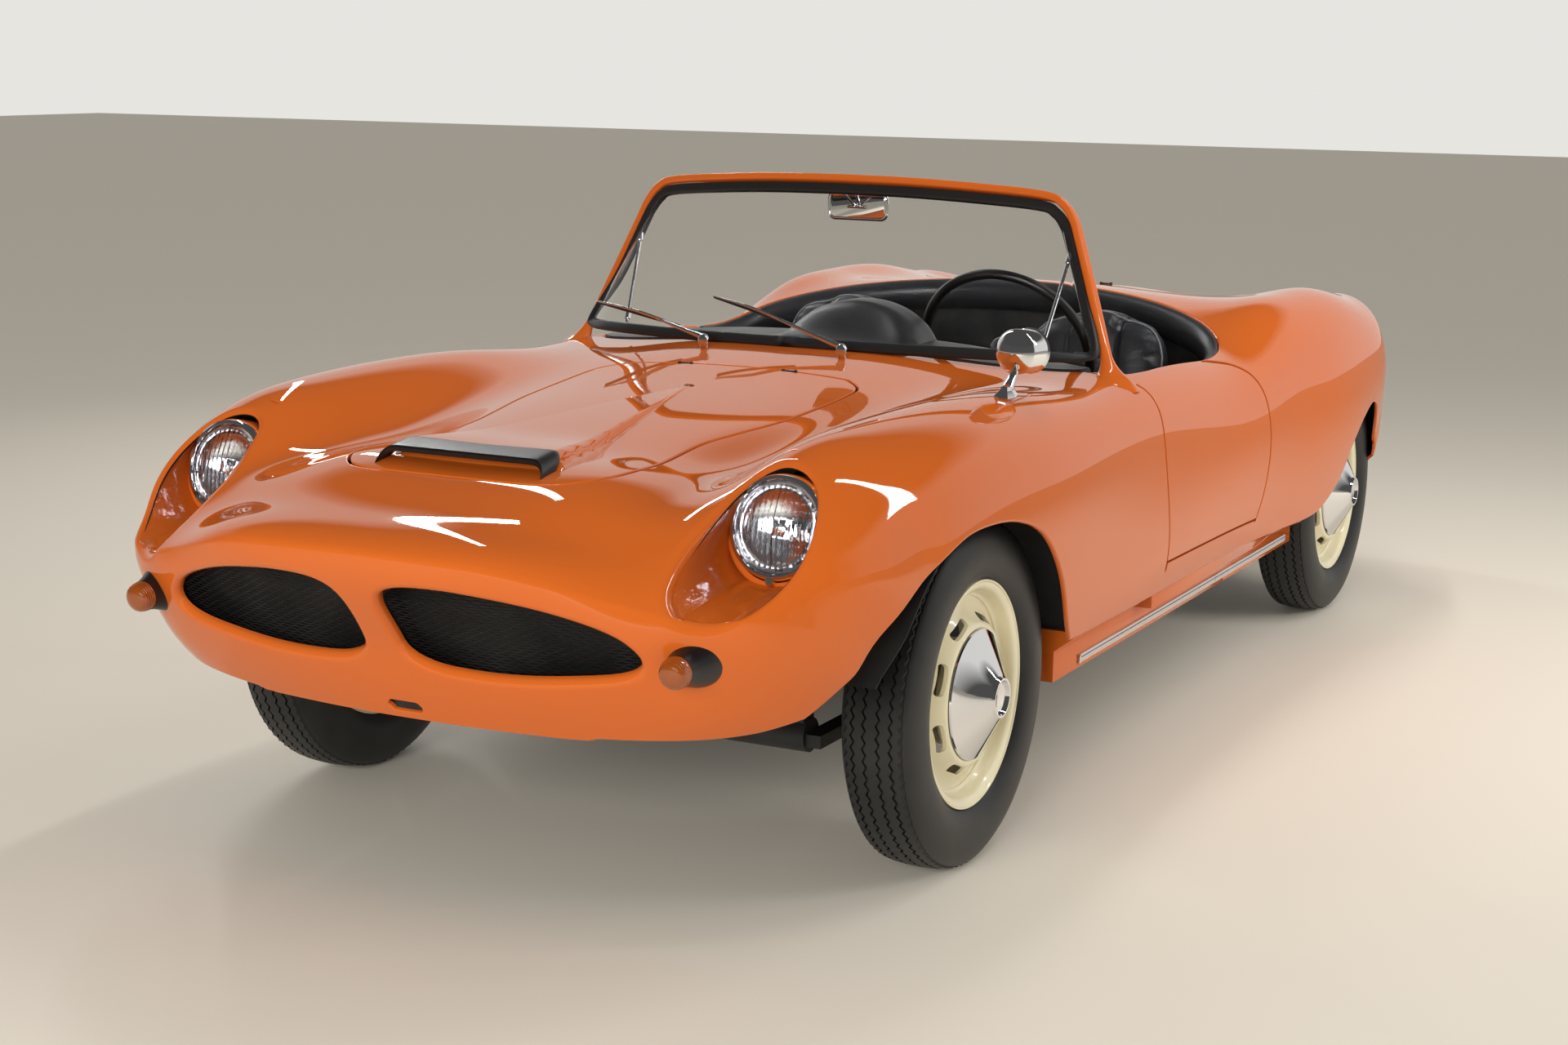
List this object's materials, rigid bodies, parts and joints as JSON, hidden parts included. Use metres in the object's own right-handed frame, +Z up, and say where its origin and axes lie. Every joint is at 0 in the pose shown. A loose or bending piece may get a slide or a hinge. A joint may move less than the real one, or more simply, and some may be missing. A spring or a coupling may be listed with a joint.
{
  "type": "open two-seat roadster",
  "caption": "Open two-seat sports car with a long low nose, sunk headlamps, a fixed curved windscreen and a rear engine under a hinged lid.",
  "frame": {"origin": "on the ground at the centre of the car's bounding box", "axes": "+Y towards the tail, the car faces -Y, +X to its left side, +Z up"},
  "size_m": [1.5678, 3.9408, 1.1903],
  "materials": {
    "orange_paint": "gloss",
    "cream_paint": "gloss",
    "chassis_black": "satin",
    "bright_chrome": "polished",
    "trim_aluminium": "satin",
    "engine_alloy": "cast",
    "exhaust_steel": "satin",
    "black_rubber": "satin",
    "tyre_rubber": "matt",
    "black_trim": "matt",
    "black_leather": "satin",
    "grey_plastic": "gloss",
    "grille_black": "satin",
    "clear_glass": "polished",
    "amber_plastic": "gloss",
    "red_plastic": "gloss"
  },
  "bodies": {
    "body": {"front_body": "orange_paint", "rear_body": "orange_paint", "sills": "orange_paint", "sill_trims": "trim_aluminium", "floor_pan": "chassis_black", "front_bulkhead": "chassis_black", "cockpit_lining": "black_trim", "dashboard": "black_leather", "windscreen_frame": "orange_paint", "windscreen_seal": "black_rubber", "windscreen_glass": "clear_glass", "windscreen_stays": "bright_chrome", "wipers": "bright_chrome", "wing_mirror": "bright_chrome", "interior_mirror": "grey_plastic", "seat_cushions": "black_leather", "seat_backs": "black_leather", "steering_column": "grey_plastic", "floor_levers": "grey_plastic", "front_axle_beam": "chassis_black", "rear_axle": "chassis_black", "engine_block": "engine_alloy", "exhaust": "exhaust_steel", "headlamp_bowls": "bright_chrome", "headlamp_lenses": "clear_glass", "grilles": "grille_black", "indicator_housings": "grey_plastic", "indicator_lenses": "amber_plastic", "tail_lamps": "red_plastic", "hinge_brackets": "chassis_black"},
    "door_left": {"door_left": "orange_paint"},
    "door_right": {"door_right": "orange_paint"},
    "bonnet": {"bonnet": "orange_paint", "bonnet_scoop": "grille_black"},
    "engine_lid": {"engine_lid": "orange_paint"},
    "steering_wheel": {"steering_wheel": "grey_plastic"},
    "knuckle_left": {"knuckle_left": "chassis_black"},
    "knuckle_right": {"knuckle_right": "chassis_black"},
    "wheel_front_left": {"rim_front_left": "cream_paint", "tyre_front_left": "tyre_rubber", "hub_cap_front_left": "bright_chrome"},
    "wheel_front_right": {"rim_front_right": "cream_paint", "tyre_front_right": "tyre_rubber", "hub_cap_front_right": "bright_chrome"},
    "wheel_rear_left": {"rim_rear_left": "cream_paint", "tyre_rear_left": "tyre_rubber", "hub_cap_rear_left": "bright_chrome"},
    "wheel_rear_right": {"rim_rear_right": "cream_paint", "tyre_rear_right": "tyre_rubber", "hub_cap_rear_right": "bright_chrome"}
  },
  "joints": [
    {"name": "door_left_hinge", "type": "hinge", "parent": "body", "child": "door_left", "pos_m": [0.738, -0.14895, 0.545], "axis": [0, 0, -1], "range_deg": [0, 65]},
    {"name": "door_right_hinge", "type": "hinge", "parent": "body", "child": "door_right", "pos_m": [-0.738, -0.14895, 0.545], "axis": [0, 0, 1], "range_deg": [0, 65]},
    {"name": "bonnet_hinge", "type": "hinge", "parent": "body", "child": "bonnet", "pos_m": [0, -0.7432, 0.819], "axis": [-1, 0, 0], "range_deg": [0, 50]},
    {"name": "engine_lid_hinge", "type": "hinge", "parent": "body", "child": "engine_lid", "pos_m": [0, 1.0188, 0.8535], "axis": [1, 0, 0], "range_deg": [0, 55]},
    {"name": "steering_wheel_turn", "type": "hinge", "parent": "body", "child": "steering_wheel", "pos_m": [0.315, -0.0822, 0.8], "axis": [0, 0.9063, 0.4226], "range_deg": [-420, 420]},
    {"name": "knuckle_left_steer", "type": "hinge", "parent": "body", "child": "knuckle_left", "pos_m": [0.5775, -1.1422, 0.32], "axis": [0, 0, 1], "range_deg": [-30, 30]},
    {"name": "knuckle_right_steer", "type": "hinge", "parent": "body", "child": "knuckle_right", "pos_m": [-0.5775, -1.1422, 0.32], "axis": [0, 0, 1], "range_deg": [-30, 30]},
    {"name": "wheel_front_left_roll", "type": "hinge", "parent": "knuckle_left", "child": "wheel_front_left", "pos_m": [0.6525, -1.1422, 0.32], "axis": [1, 0, 0], "continuous": true},
    {"name": "wheel_front_right_roll", "type": "hinge", "parent": "knuckle_right", "child": "wheel_front_right", "pos_m": [-0.6525, -1.1422, 0.32], "axis": [1, 0, 0], "continuous": true},
    {"name": "wheel_rear_left_roll", "type": "hinge", "parent": "body", "child": "wheel_rear_left", "pos_m": [0.6525, 1.2578, 0.32], "axis": [1, 0, 0], "continuous": true},
    {"name": "wheel_rear_right_roll", "type": "hinge", "parent": "body", "child": "wheel_rear_right", "pos_m": [-0.6525, 1.2578, 0.32], "axis": [1, 0, 0], "continuous": true}
  ],
  "couplings": [
    {"joint": "knuckle_right_steer", "follows": "knuckle_left_steer", "ratio": 1},
    {"joint": "steering_wheel_turn", "follows": "knuckle_left_steer", "ratio": 14}
  ]
}
